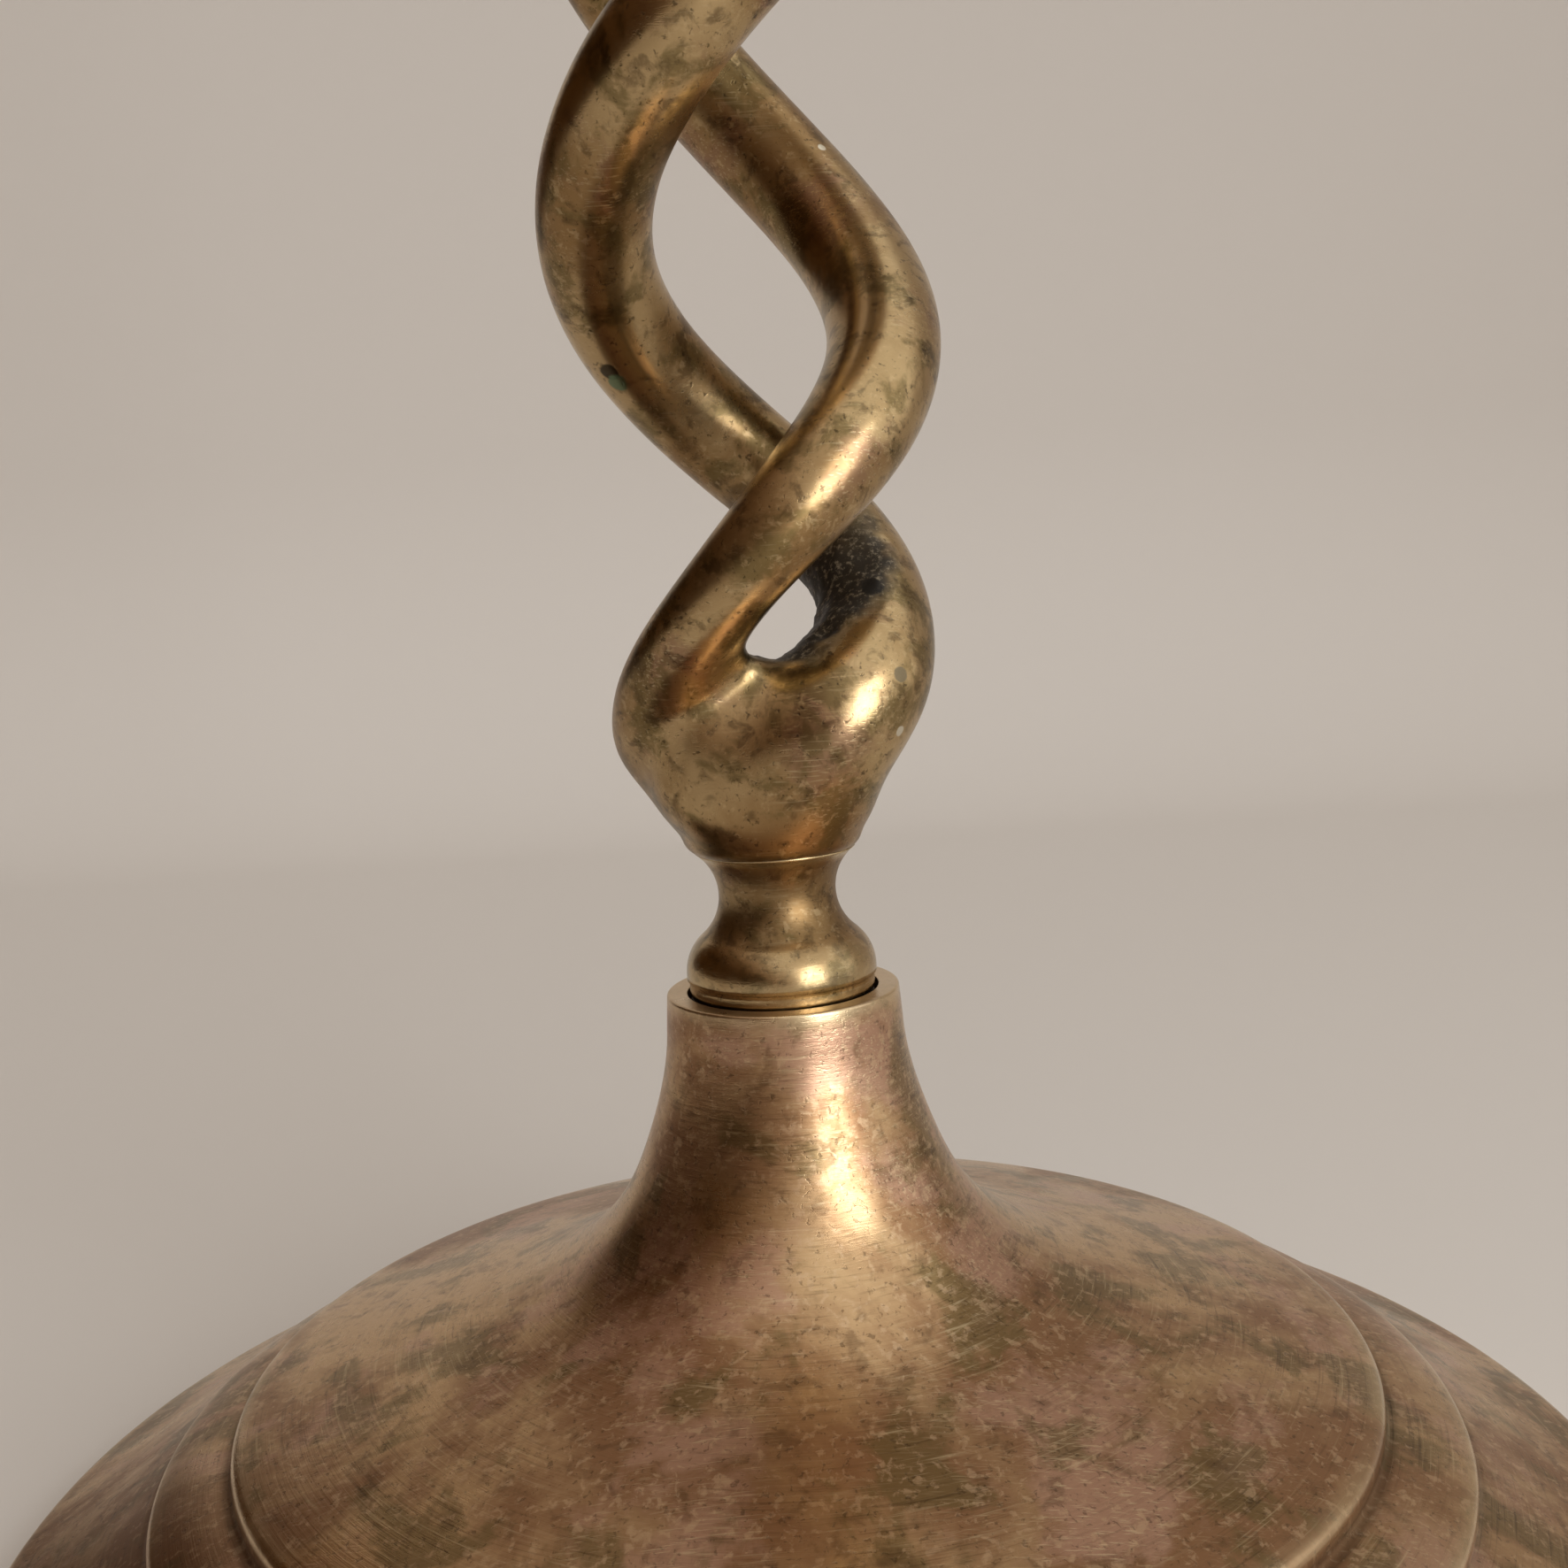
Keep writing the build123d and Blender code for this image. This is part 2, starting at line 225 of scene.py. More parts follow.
def baseOutline(b):
    flare, drop = b["domeRadius"] - b["collarRadius"], b["collarHeight"] - b["domeEdge"]
    neck = [(b["collarRadius"] + s * flare, b["collarHeight"] - d * drop) for s, d in b["neckShares"]]
    hollow = [place for place, (s, d) in zip(neck, b["neckShares"]) if d > b["hollowFrom"]]
    inner = [(r - b["wall"], z - b["wall"]) for r, z in hollow]
    stepFoot, skirtTop = b["domeEdge"] - b["domeStep"], b["ringEdge"] - b["ringStep"]
    innerSkirt = (b["ringRadius"] - b["wall"], skirtTop - b["wall"])
    innerRim = (b["rimRadius"] - b["wall"], b["rimEdge"] - b["wall"])
    line = [
        (b["tapRadius"], b["bossBottom"]), (b["tapRadius"], b["recessFloor"]),
        (b["recessRadius"], b["recessFloor"]), (b["recessRadius"], b["collarHeight"]),
        (b["collarRadius"], b["collarHeight"]),
    ]
    line += softCurve(neck, (0.03, -1), (1, -0.4))
    line += bow((b["domeRadius"], stepFoot), (b["ringRadius"], b["ringEdge"]), b["ringSag"])
    line += bow((b["ringRadius"], skirtTop), (b["rimRadius"], b["rimEdge"]), -b["skirtSag"])
    line += [(b["rimRadius"], 0), (b["rimRadius"] - b["wall"], 0)]
    line += bow(innerRim, innerSkirt, b["skirtSag"])
    line += [(b["domeRadius"] - b["wall"], stepFoot - b["wall"])]
    line += softCurve(inner[::-1], (-1, 0.3), (0, 1), 6)
    line += [(inner[0][0], b["bossBottom"])]
    return rounded(line, (
        ((b["collarRadius"], b["collarHeight"]), 0.25), ((b["recessRadius"], b["collarHeight"]), 0.15),
        ((b["domeRadius"], b["domeEdge"]), 1.1), ((b["domeRadius"], stepFoot), 0.5),
        ((b["ringRadius"], b["ringEdge"]), 0.8), ((b["rimRadius"], b["rimEdge"]), 1.2),
        ((b["rimRadius"], 0), 0.4),
    ))


baseOuter = baseOutline(base)
basePiece = turned("turnedBase", baseOuter + [baseOuter[0]], 360, base["wobble"], seed=3.0)
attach(basePiece, "base")
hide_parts("base_casting")
print("base turned:", len(basePiece.data.vertices), "points")

# Stem: one casting, a turned knop at each end and an open twist of two strands between them

twist = {
    "foot": 45.0, "length": 164.5, "pitch": 65.0, "startTurn": 54.0,
    "leadTurn": 34.0, "leadHeight": 47.0, "leadSpread": 28.5,
    "bowTurn": 6.0, "bowHeight": 27.0, "bowSpread": 7.5,
    "lagTurn": 24.5, "lagHeight": 40.0, "lagSpread": 11.4,
    "endReach": 7.45, "midSwell": 3.55, "slenderStart": 0.6, "slenderRun": 6.2,
    "stoutReach": 0.02, "stoutFree": 19.1, "stoutRun": 2.9,
    "radius": 4.25, "slenderLoss": 1.3, "slenderHeight": 36.5, "slenderSpread": 3.2,
    "stoutGain": 1.3, "stoutHeight": 24.9, "stoutSpread": 1.5,
    "bulbCentre": (-0.9, -0.2, 16.8), "bulbHalf": (8.4, 7.1, 7.4), "bulbSquare": 3.4, "bulbTurn": 8.0,
    "webTop": 25.0, "webTilt": 7.0, "tiltSpan": (-0.4, 0.3),
    "webShare": 0.8, "webSpan": (0.3, 0.8), "webMelt": 1.2, "melt": 1.05,
    "trimCentre": (-56.45, 67.9), "trimRadius": 84.4, "trimMelt": 0.5,
    "trimOval": 0.1, "ovalStart": 10.8, "ovalRun": 1.7, "freeStart": 20.0, "freeSlope": 0.35,
    "lip": 0.4, "lipHeight": 11.4, "lipSpread": 0.8,
    # the crease where bulb meets cove is darkened with grime and painted shade
    "creaseHeight": 11.0, "creaseSpread": 0.3, "creaseReach": 7.2, "creaseGrimeShade": 0.8,
    "handSize": 13.0, "handDepth": 0.05,
    "inset": 8.0, "grain": 0.42, "gridEdge": 17.0, "gridFoot": 3.0, "gridReach": 5.0, "gridFar": 14.0,
}
knop = {
    "radius": 7.4, "widest": 1.5, "sink": 0.6, "footRound": 0.9,
    "bandStep": 0.18, "bandTop": 1.0, "bandSlope": 0.1, "bandSpread": 0.22, "bandReach": 6.5,
    "coveNeck": 4.55, "coveHeight": 7.6, "coveRadius": 4.2, "coveEnd": 53.0, "tailIn": 1.6, "tailRise": 0.6,
    "studRadius": 2.8, "studDepth": 10.5, "tapRadius": 2.86, "tapDepth": 8.5, "drillPast": (3.0, 3.5),
}
# The first window's unfiled faces: heights over the stem's foot, and how rough the mould left them
crotch = {
    "foot": 24.3, "top": 36.5, "sillFoot": 23.5, "sillTop": 28.0, "sillReach": 5.6, "ragged": 3.0,
    "lumpSize": 2.6, "lumpDepth": 0.3, "pitSize": 4.5, "pitStart": 0.25, "pitDepth": 1.1,
}


def easeOff(distance, middle, spread):
    return 1 / (1 + np.exp((distance - middle) / spread))


def strandAt(height, strand):
    t = twist
    slender, stout = (height, t["length"] - height) if strand == 0 else (t["length"] - height, height)
    swing = t["leadTurn"] * np.exp(-(((slender - t["leadHeight"]) / t["leadSpread"]) ** 2))
    swing = swing + t["bowTurn"] * np.exp(-(((slender - t["bowHeight"]) / t["bowSpread"]) ** 2))
    swing = swing + t["lagTurn"] * easeOff(stout, t["lagHeight"], t["lagSpread"])
    turn = t["startTurn"] + 180 * strand + 360 * height / t["pitch"] + (1 - 2 * strand) * swing
    reach = t["endReach"] + t["midSwell"] * np.sin(pi * height / t["length"])
    reach = reach * np.tanh((slender - t["slenderStart"]) / t["slenderRun"])
    reach = reach * (1 - (1 - t["stoutReach"]) * easeOff(stout, t["stoutFree"], t["stoutRun"]))
    radius = t["radius"] - t["slenderLoss"] * easeOff(slender, t["slenderHeight"], t["slenderSpread"])
    radius = radius + t["stoutGain"] * easeOff(stout, t["stoutHeight"], t["stoutSpread"])
    turn = np.radians(turn)
    return np.stack([reach * np.cos(turn), reach * np.sin(turn), height], -1), radius


strandHeights = np.linspace(twist["inset"], twist["length"] - twist["inset"], 600)


def strandDepth(points, strand, height=None):
    # distance to a strand's surface, the way out from it, and the height of its nearest place
    step = 1.0
    if height is None:
        tries = np.arange(strandHeights[0], strandHeights[-1], step)
        centres, radii = strandAt(tries, strand)
        height = np.concatenate([
            tries[np.argmin(np.linalg.norm(part[:, None] - centres[None], axis=2) - radii, axis=1)]
            for part in np.array_split(points, max(1, len(points) // 3000))
        ])

    def gapAt(h):
        centre, radius = strandAt(h, strand)
        return np.linalg.norm(points - centre, axis=1) - radius

    for width in (step, step / 3, step / 9):
        low, here, high = gapAt(height - width), gapAt(height), gapAt(height + width)
        curve = np.maximum(low + high - 2 * here, 1e-9)
        height = height + np.clip((low - high) / (2 * curve), -1, 1) * width
        height = np.clip(height, strandHeights[0], strandHeights[-1])
    centre, radius = strandAt(height, strand)
    out = points - centre
    far = np.linalg.norm(out, axis=1)
    return far - radius, out / np.maximum(far, 1e-9)[:, None], height


def bulbDepth(points):
    # the swelling that both strands grow out of: a block with rounded sides, its front turned a little
    turn, power = radians(twist["bulbTurn"]), twist["bulbSquare"]
    spin = np.array([[cos(turn), -sin(turn), 0], [sin(turn), cos(turn), 0], [0, 0, 1]])
    q = (points - np.array(twist["bulbCentre"])) @ spin / np.array(twist["bulbHalf"])
    size = np.maximum((np.abs(q) ** power).sum(1) ** (1 / power), 1e-6)
    way = np.sign(q) * (np.abs(q) / size[:, None]) ** (power - 1) / np.array(twist["bulbHalf"])
    steep = np.maximum(np.linalg.norm(way, axis=1), 1e-6)
    return (size - 1) / steep, way @ spin.T / steep[:, None]


def webDepth(points):
    # the solid web that joins the two strands below the first window, like a hide stretched over both
    height = points[:, 2]
    (first, r0), (second, r1) = strandAt(height, 0), strandAt(height, 1)
    span = (second - first)[:, :2]
    share = ((points - first)[:, :2] * span).sum(1) / np.maximum((span**2).sum(1), 1e-6)
    tilt = twist["webTilt"] * np.clip(share - 0.5, *twist["tiltSpan"])
    share = np.clip(share, *twist["webSpan"])
    out = (points - first)[:, :2] - share[:, None] * span
    far = np.maximum(np.linalg.norm(out, axis=1), 1e-6)
    side, rise = far - twist["webShare"] * (r0 + share * (r1 - r0)), height - twist["webTop"] + tilt
    most = np.maximum(side, rise)
    a, b = np.exp((side - most) / twist["webMelt"]), np.exp((rise - most) / twist["webMelt"])
    way = np.concatenate([out / far[:, None] * a[:, None], b[:, None]], 1) / (a + b)[:, None]
    return most + twist["webMelt"] * np.log(a + b), way


def trimDepth(points):
    # the lathe's rounded cut under the strands' roots
    t = twist
    (r0, h0), height = t["trimCentre"], points[:, 2]
    oval = 1 - t["trimOval"] * np.clip((height - t["ovalStart"]) / t["ovalRun"], 0, 1)  # round at the cove
    across = np.maximum(np.hypot(points[:, 0], oval * points[:, 1]), 1e-6)
    down = np.minimum(height - h0, 0)
    far = np.hypot(across - r0, down)
    easy = t["freeSlope"] * np.maximum(height - t["freeStart"], 0)  # it lets go of the free strands
    way = points * ((across - r0) / far / across)[:, None]
    way[:, 1] *= oval**2
    way[:, 2] = down / far
    # the root's edge stands a little proud of the cove
    lip = t["lip"] * np.exp(-(((height - t["lipHeight"]) / t["lipSpread"]) ** 2))
    return far - t["trimRadius"] - easy - lip, way


def stemDepth(points, strands=None):
    if strands is None:
        strands = [strandDepth(points, s) for s in (0, 1)]
    # the stem turned end for end puts each strand in the other's place, so both ends share their shapes
    spin = radians(2 * twist["startTurn"] + 180 + 360 * twist["length"] / twist["pitch"])
    swap = np.array([[cos(spin), sin(spin), 0], [sin(spin), -cos(spin), 0], [0, 0, -1]])
    ends = ((points, np.eye(3)), (points @ swap + np.array([0, 0, twist["length"]]), swap))
    parts = [s[:2] for s in strands]
    for shape in (bulbDepth, webDepth):
        parts += [(depth, way @ back) for (depth, way), back in ((shape(q), back) for q, back in ends)]
    depth = np.stack([p[0] for p in parts], -1) / -twist["melt"]
    top = depth.max(1, keepdims=True)
    weight = np.exp(depth - top)
    total = weight.sum(1, keepdims=True)
    field = -twist["melt"] * (top[:, 0] + np.log(total[:, 0]))
    way = sum((weight / total)[:, i : i + 1] * p[1] for i, p in enumerate(parts))
    for q, back in ends:
        cut, cutWay = trimDepth(q)
        most = np.maximum(field, cut)
        a, b = np.exp((field - most) / twist["trimMelt"]), np.exp((cut - most) / twist["trimMelt"])
        field = most + twist["trimMelt"] * np.log(a + b)
        way = (a[:, None] * way + b[:, None] * (cutWay @ back)) / (a + b)[:, None]
    return field, way


def twistMesh():
    # fills a grid with each strand's distance, skins it, then settles the skin on the exact surface
    grain, edge, foot, reach = (twist[key] for key in ("grain", "gridEdge", "gridFoot", "gridReach"))
    corner = np.array([-edge, -edge, foot])
    xs = np.arange(-edge, edge + grain, grain)
    zs = np.arange(foot, twist["length"] - foot + grain, grain)
    grid = np.stack(np.meshgrid(xs, xs, zs, indexing="ij"), -1)
    shape = grid.shape[:3]
    fields = []
    for strand in (0, 1):
        field = np.full(shape, twist["gridFar"])
        centres, radii = strandAt(strandHeights, strand)
        for centre, radius in zip(centres, radii):
            lows = np.maximum(((centre - radius - reach - corner) / grain).astype(int), 0)
            highs = ((centre + radius + reach - corner) / grain).astype(int) + 1
            spot = tuple(slice(a, b) for a, b in zip(lows, highs))
            away = np.sqrt(((grid[spot] - centre) ** 2).sum(-1)) - radius
            field[spot] = np.minimum(field[spot], away)
        fields.append((field.ravel(), np.zeros((1, 3)), None))
    field = stemDepth(grid.reshape(-1, 3), fields)[0].reshape(shape)
    volume = openvdb.FloatGrid()
    volume.copyFromArray(field.astype(np.float32))
    points, quads = volume.convertToQuads(isovalue=0.0)
    points = points * grain + corner
    heights = [None, None]
    for settling in range(3):
        strands = [strandDepth(points, s, heights[s]) for s in (0, 1)]
        heights = [s[2] for s in strands]
        depth, way = stemDepth(points, strands)
        points = points - way * (np.clip(depth, -0.5, 0.5) / np.maximum((way**2).sum(1), 0.25))[:, None]
    return points, quads


def crotchShare(points):
    # 1 where the casting was never filed: the stout strand's inner face, down to the first window's foot
    strands = [strandDepth(points, s) for s in (0, 1)]
    way = stemDepth(points, strands)[1]
    across = np.maximum(np.hypot(points[:, 0], points[:, 1]), 0.5)
    inward = -(way[:, 0] * points[:, 0] + way[:, 1] * points[:, 1]) / across
    low = points[:, 2] < twist["length"] / 2
    height = np.where(low, points[:, 2], twist["length"] - points[:, 2])
    lead = (strands[1][0] - strands[0][0]) * np.where(low, 1, -1)
    stoutSide = easeOff(lead, 1.2, 0.5)
    ragged = unevenness(points, crotch["ragged"], 3, 8.0)
    inside = np.clip((inward + 0.45 + 0.25 * ragged) / 0.3, 0, 1)
    foot = easeOff(-height, -crotch["foot"] + 0.8 * ragged, 0.35)
    inner = inside * stoutSide * foot * easeOff(height, crotch["top"] + 1.5 * ragged, 1.0)
    # and the web's upper edge, which is the window's foot
    upward = way[:, 2] * np.where(low, 1, -1)
    sill = np.clip((upward - 0.14 + 0.3 * ragged) / 0.2, 0, 1) * easeOff(height, crotch["sillTop"], 0.8)
    sill = sill * easeOff(-height, -crotch["sillFoot"] + 0.9 * ragged, 0.25)
    return np.maximum(inner, sill * easeOff(across, crotch["sillReach"] + 0.8 * ragged, 0.5))


def alongBrush(points):
    # where polishing lines run along the nearer strand
    strands = [strandDepth(points, s) for s in (0, 1)]
    lines = []
    for s, (_, out, height) in enumerate(strands):
        ahead = strandAt(height + 0.1, s)[0] - strandAt(height - 0.1, s)[0]
        level = np.stack([ahead[:, 1], -ahead[:, 0], 0 * height], -1)
        level = level / np.linalg.norm(level, axis=1, keepdims=True)
        rising = np.cross(level, ahead / np.linalg.norm(ahead, axis=1, keepdims=True))
        lines.append(np.stack([(out * level).sum(1), (out * rising).sum(1), height], -1) * brush["along"])
    return np.where((strands[0][0] < strands[1][0])[:, None], lines[0], lines[1])


def knopOutline(k, holeRadius, holeDepth):
    # foot, thin band, round knop and hollow cove; it runs on a little way inside the bulb
    coveAcross, rise = k["coveNeck"] + k["coveRadius"], k["coveHeight"] - k["widest"]
    hang = coveAcross - k["radius"]
    roundness = (hang**2 + rise**2 - k["coveRadius"] ** 2) / (2 * (k["coveRadius"] - hang))
    meetDeg = degrees(atan2(rise, coveAcross - (k["radius"] - roundness)))
    line = [(0, holeDepth - k["sink"]), (holeRadius, holeDepth - k["sink"]), (holeRadius, -k["sink"])]
    line += [(k["radius"] - k["bandStep"], -k["sink"]), (k["radius"] - k["bandStep"], k["bandTop"])]
    line += [(k["radius"], k["bandTop"] + k["bandSlope"])]
    line += arc((k["radius"] - roundness, k["widest"]), roundness, 0, meetDeg, 16)
    line += arc((coveAcross, k["coveHeight"]), k["coveRadius"], 180 + meetDeg, 180 - k["coveEnd"], 30)[1:]
    across, height = line[-1]
    line += [(across - k["tailIn"], height + k["tailRise"]), (0, height + 2 * k["tailRise"])]
    corner = k["radius"] - k["bandStep"]
    return rounded(line, (((corner, -k["sink"]), k["footRound"]), ((holeRadius, -k["sink"]), 0.25)))


def makeStem():
    points, quads = twistMesh()
    rough = crotchShare(points)
    lumps = crotch["lumpDepth"] * unevenness(points, crotch["lumpSize"], 4, 5.0)
    pits = np.clip(unevenness(points, crotch["pitSize"], 2, 11.0) - crotch["pitStart"], 0, 1)
    way = stemDepth(points)[1]
    way = way / np.maximum(np.linalg.norm(way, axis=1), 1e-6)[:, None]
    hand = unevenness(points, twist["handSize"], 2, 2.0)  # filed by hand, so never quite true
    lift = rough * (lumps - crotch["pitDepth"] * pits) + (1 - rough) * twist["handDepth"] * hand
    points = points + way * lift[:, None]
    stem = newPiece("castStem", points + np.array([0, 0, twist["foot"]]), quads)
    stem.data.flip_normals()
    ends = []
    studHole, tapHole = (knop["studRadius"], knop["studDepth"]), (knop["tapRadius"], knop["tapDepth"])
    for name, hole in (("knopFoot", studHole), ("knopTop", tapHole)):
        line = np.array(knopOutline(knop, *hole))
        line[:, 1] = twist["foot"] + (line[:, 1] if name == "knopFoot" else twist["length"] - line[:, 1])
        ends.append(turned(name, [tuple(q) for q in line], 160, wobble=0.03, seed=7.0, gap=0.5))
    cutTogether(stem, ends, "UNION")
    drills = []
    (below, above), length = knop["drillPast"], twist["length"]
    for low, high, radius in (
        (-below, studHole[1] - knop["sink"], studHole[0]),
        (length - (tapHole[1] - knop["sink"]), length + above, tapHole[0]),
    ):
        line = [(0, low), (radius, low), (radius, high), (0, high)]
        drills.append(turned("drill", [(r, z + twist["foot"]) for r, z in line], 64, gap=3.0))
    cutTogether(stem, drills, "DIFFERENCE")
    stem.data.shade_smooth()
    flat = np.zeros(len(stem.data.vertices) * 3)
    stem.data.vertices.foreach_get("co", flat)
    points = flat.reshape(-1, 3) / mm - np.array([0, 0, twist["foot"]])
    height = np.minimum(points[:, 2], length - points[:, 2])
    across = np.hypot(points[:, 0], points[:, 1])
    # painted shade, with grime, in the crease where bulb meets cove and in the groove above the knop's band
    crease = np.exp(-(((height - twist["creaseHeight"]) / twist["creaseSpread"]) ** 2))  # bulb meets cove
    crease = crease * (across < twist["creaseReach"]) * twist["creaseGrimeShade"]
    band = np.exp(-(((height - knop["bandTop"]) / knop["bandSpread"]) ** 2)) * (across > knop["bandReach"])
    turnedPart = height[:, None] < twist["creaseHeight"]
    marks(stem.data, {
        "raw": crotchShare(points), "nookShade": np.maximum(crease, band), "edge": 0 * height,
        "brush": np.where(turnedPart, roundBrush(points, points[:, 2]), alongBrush(points)),
    })
    return stem


stemPiece = makeStem()
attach(stemPiece, "stem")
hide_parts("stem_casting")
print("stem cast:", len(stemPiece.data.vertices), "points")

# Studs: short lengths of threaded rod, cut with a die

stud = {
    "crest": 2.8, "root": 2.28, "pitch": 1.5, "chamfer": 0.5, "sides": 48, "rowsPerPitch": 12,
    "stemEnds": (34.6, 54.4), "cupEnds": (202.1, 219.2),
}


def threaded(name, low, high):
    s = stud
    heights = np.linspace(low, high, int((high - low) / s["pitch"] * s["rowsPerPitch"]) + 1)
    turn = np.linspace(0, 2 * pi, s["sides"], endpoint=False)
    phase = (heights[:, None] / s["pitch"] - turn[None, :] / (2 * pi)) % 1.0
    rise = np.clip(1.25 - np.abs(phase - 0.5) * 3.0, 0, 1)  # flat crest, flat root, sloping flanks
    across = s["root"] + (s["crest"] - s["root"]) * rise
    toEnd = np.minimum(heights - low, high - heights)[:, None]
    across = np.minimum(across, s["crest"] - s["chamfer"] + toEnd)
    points = np.stack([across * np.cos(turn), across * np.sin(turn), heights[:, None] + 0 * across], -1)
    points = np.concatenate([points.reshape(-1, 3), [(0, 0, low), (0, 0, high)]])
    n, rows = s["sides"], len(heights)
    faces = []
    for k in range(n):
        m = (k + 1) % n
        faces += [(i * n + k, i * n + m, (i + 1) * n + m, (i + 1) * n + k) for i in range(rows - 1)]
        faces += [(m, k, rows * n), ((rows - 1) * n + k, (rows - 1) * n + m, rows * n + 1)]
    piece = newPiece(name, points, faces)
    # the thread's roots are marked for painted shade
    marks(piece.data, {"nookShade": np.append(1 - rise.ravel(), [0, 0])})
    return piece


for name, node, body, ends in (
    ("stemStud", "stem_stud", "stem", stud["stemEnds"]),
    ("cupStud", "cup_stud", "cup", stud["cupEnds"]),
):
    studPiece = threaded(name, *ends)
    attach(studPiece, body)
    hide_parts(node)
print("studs threaded")

# Drip pan: a turned dish with a small collar under it, as on the base

pan = {
    "base": 209.5, "seat": 210.1, "floorTop": 212.7, "holeRadius": 3.1, "recessRadius": 7.45,
    "collarRadius": 9.05, "collarHeight": 1.0, "radius": 29.0, "rimTop": 218.3, "rimDrop": 2.0,
    "rimWidth": 1.9, "flatRadius": 17.0, "underSag": 3.0, "dishSag": 1.5, "wobble": 0.04,
}


def panOutline(p):
    under = (p["collarRadius"], p["base"] + p["collarHeight"])
    rim, lip = (p["radius"], p["rimTop"] - p["rimDrop"]), (p["radius"] - p["rimWidth"], p["rimTop"])
    line = [
        (p["holeRadius"], p["floorTop"]), (p["holeRadius"], p["seat"]), (p["recessRadius"], p["seat"]),
        (p["recessRadius"], p["base"]), (p["collarRadius"], p["base"]),
    ]
    line += bow(under, rim, -p["underSag"], 24) + [(p["radius"], p["rimTop"])]
    line += bow(lip, (p["flatRadius"], p["floorTop"]), p["dishSag"], 18)
    return rounded(line, (
        ((p["collarRadius"], p["base"]), 0.25), (rim, 0.8), ((p["radius"], p["rimTop"]), 0.8),
        (lip, 0.5), ((p["holeRadius"], p["floorTop"]), 0.2),
    ))


panLine = panOutline(pan)
panPiece = turned("turnedPan", panLine + [panLine[0]], 240, pan["wobble"], seed=9.0)
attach(panPiece, "pan")
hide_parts("drip_pan")
print("pan turned")

# Candle cup: a turned foot and waist under a straight socket with a flared lip

cup = {
    "floor": 212.7, "top": 254.0, "boreRadius": 11.15, "boreFloor": 228.0, "bodyRadius": 13.15,
    "footRadius": 10.6, "footThick": 1.8, "waistRadius": 6.6, "waistHeight": 5.6, "bowlHeight": 13.2,
    "lipRadius": 16.0, "lipThick": 1.7, "lipHeight": 6.0, "holeRadius": 2.8, "holeDepth": 7.0,
    "footSag": 0.9, "bowlSag": 1.6, "lipSag": 1.0, "wobble": 0.03,
}


def cupOutline(c):
    foot = c["floor"] + c["footThick"]
    shoulder = (c["footRadius"] - c["footThick"], foot)
    waist = (c["waistRadius"], c["floor"] + c["waistHeight"])
    bowl = (c["bodyRadius"], c["floor"] + c["bowlHeight"])
    lipFoot = (c["bodyRadius"], c["top"] - c["lipHeight"])
    lipEdge = (c["lipRadius"], c["top"] - c["lipThick"])
    line = [
        (0, c["floor"] + c["holeDepth"]), (c["holeRadius"], c["floor"] + c["holeDepth"]),
        (c["holeRadius"], c["floor"]), (c["footRadius"], c["floor"]), (c["footRadius"], foot),
    ]
    line += bow(shoulder, waist, c["footSag"], 12) + bow(waist, bowl, -c["bowlSag"], 20)[1:]
    line += bow(lipFoot, lipEdge, c["lipSag"], 12)
    line += [(c["lipRadius"], c["top"]), (c["boreRadius"], c["top"]), (c["boreRadius"], c["boreFloor"])]
    line += [(0, c["boreFloor"])]
    return rounded(line, (
        ((c["footRadius"], foot), 0.7), ((c["footRadius"], c["floor"]), 0.3), (waist, 0.5),
        ((c["lipRadius"], c["top"]), 0.7), (lipEdge, 0.4), ((c["boreRadius"], c["top"]), 0.4),
    ))


cupPiece = turned("turnedCup", cupOutline(cup), 200, cup["wobble"], seed=13.0, gap=0.8)
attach(cupPiece, "cup")
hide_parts("candle_cup")
print("cup turned")

# Materials

def linear(hexColour):
    parts = [int(hexColour[i : i + 2], 16) / 255 for i in (1, 3, 5)]
    return tuple(c / 12.92 if c <= 0.04045 else ((c + 0.055) / 1.055) ** 2.4 for c in parts) + (1.0,)


def addNode(tree, kind, values=None, links=None, **settings):
    made = tree.nodes.new("ShaderNode" + kind)
    for key, value in settings.items():
        setattr(made, key, value)
    for key, value in (values or {}).items():
        made.inputs[key].default_value = value
    for key, source in (links or {}).items():
        tree.links.new(source, made.inputs[key])
    return made


def newMaterial(name):
    material = bpy.data.materials.new(name)
    material.use_nodes = True
    material.node_tree.nodes.clear()
    return material, material.node_tree


